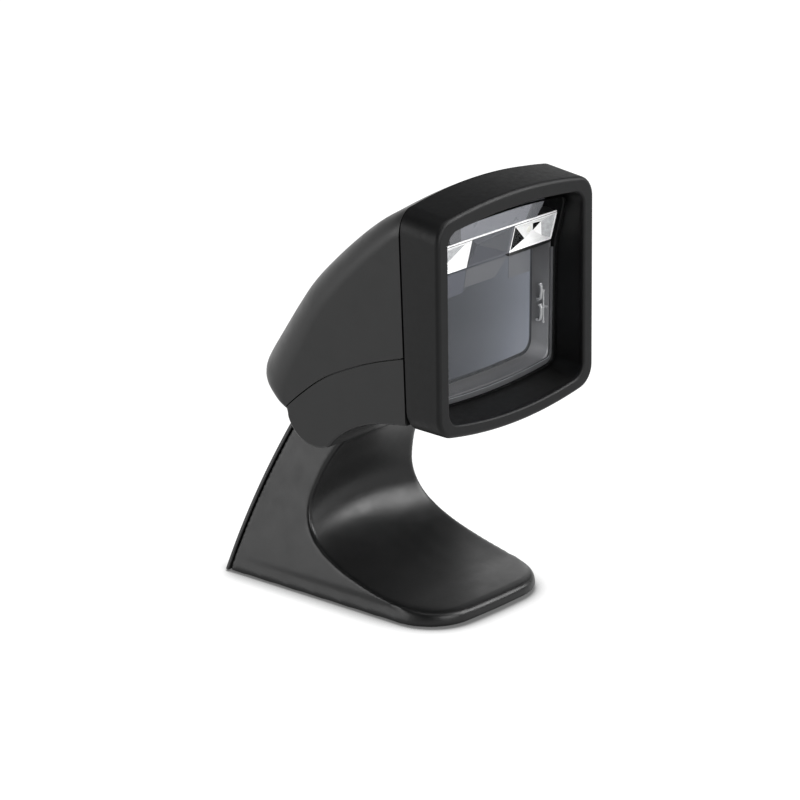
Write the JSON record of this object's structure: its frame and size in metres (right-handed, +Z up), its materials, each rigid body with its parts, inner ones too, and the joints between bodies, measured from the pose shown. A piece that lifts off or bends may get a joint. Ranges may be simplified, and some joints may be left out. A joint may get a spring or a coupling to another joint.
{
  "type": "presentation barcode scanner",
  "caption": "Hands-free barcode scanner: a hooded reading head with an upright window, tilting on a weighted stand with an open throat, with a trigger button on top.",
  "frame": {"origin": "on the surface the feet stand on, under the middle of the object's box", "axes": "+Z up, -Y towards the window's front, X across"},
  "size_m": [0.0748, 0.0977, 0.1436],
  "materials": {
    "housing": "dark grey moulded plastic, satin, very fine grain",
    "hood": "charcoal soft-touch plastic, matte",
    "gloss_black": "near-black, glossy",
    "dark_panel": "dark tinted panel, glossy",
    "tray_grey": "mid grey moulded plastic, satin",
    "pale_grey": "pale grey moulded plastic, satin",
    "clear_window": "clear, polished",
    "mirror": "vacuum-metallised reflector",
    "steel": "zinc-plated steel",
    "cast_metal": "as-cast, grey",
    "rubber": "matte black rubber",
    "circuit_board": "green solder mask",
    "led_resin": "pale yellow translucent resin",
    "black_plastic": "black moulded plastic"
  },
  "bodies": {
    "stand": {"stand_shell": "housing", "rear_cover": "housing", "base_plate": "steel", "base_screw_1": "steel", "base_screw_2": "steel", "base_screw_3": "steel", "base_screw_4": "steel", "foot_front_left": "rubber", "foot_front_right": "rubber", "foot_rear_left": "rubber", "foot_rear_right": "rubber", "ballast_weight": "cast_metal", "pivot_arm": "cast_metal", "tilt_pin": "steel", "tension_nut": "steel", "friction_washer_left": "black_plastic", "friction_washer_right": "black_plastic"},
    "head": {"bezel": "hood", "window_frame": "gloss_black", "front_window": "clear_window", "window_gasket": "rubber", "upper_shell": "housing", "lower_shell": "housing", "hinge_bracket": "steel", "optical_chassis": "tray_grey", "inner_window": "dark_panel", "reflector_left": "mirror", "reflector_right": "mirror", "center_baffle": "tray_grey", "hood_panel": "pale_grey", "led_board": "circuit_board", "led_left": "led_resin", "led_right": "led_resin", "light_pipe_upper": "clear_window", "light_pipe_lower": "clear_window", "camera_barrel": "black_plastic", "camera_lens": "clear_window", "sensor_board": "circuit_board", "main_board": "circuit_board", "beeper": "black_plastic", "cable_jack": "black_plastic", "button_switch": "black_plastic", "shell_screw_1": "steel", "shell_screw_2": "steel", "shell_screw_3": "steel", "shell_screw_4": "steel"},
    "button": {"top_button": "housing"}
  },
  "joints": [
    {"name": "head_tilt", "type": "hinge", "parent": "stand", "child": "head", "pos_m": [0, 0.0038, 0.0674], "axis": [1, 0, 0], "range_deg": [-18, 20]},
    {"name": "button_press", "type": "slide", "parent": "head", "child": "button", "axis": [0, -0.6285, -0.7778], "range_m": [0, 0.0008], "stiffness_N_per_m": 400, "springref_m": -0.001}
  ]
}
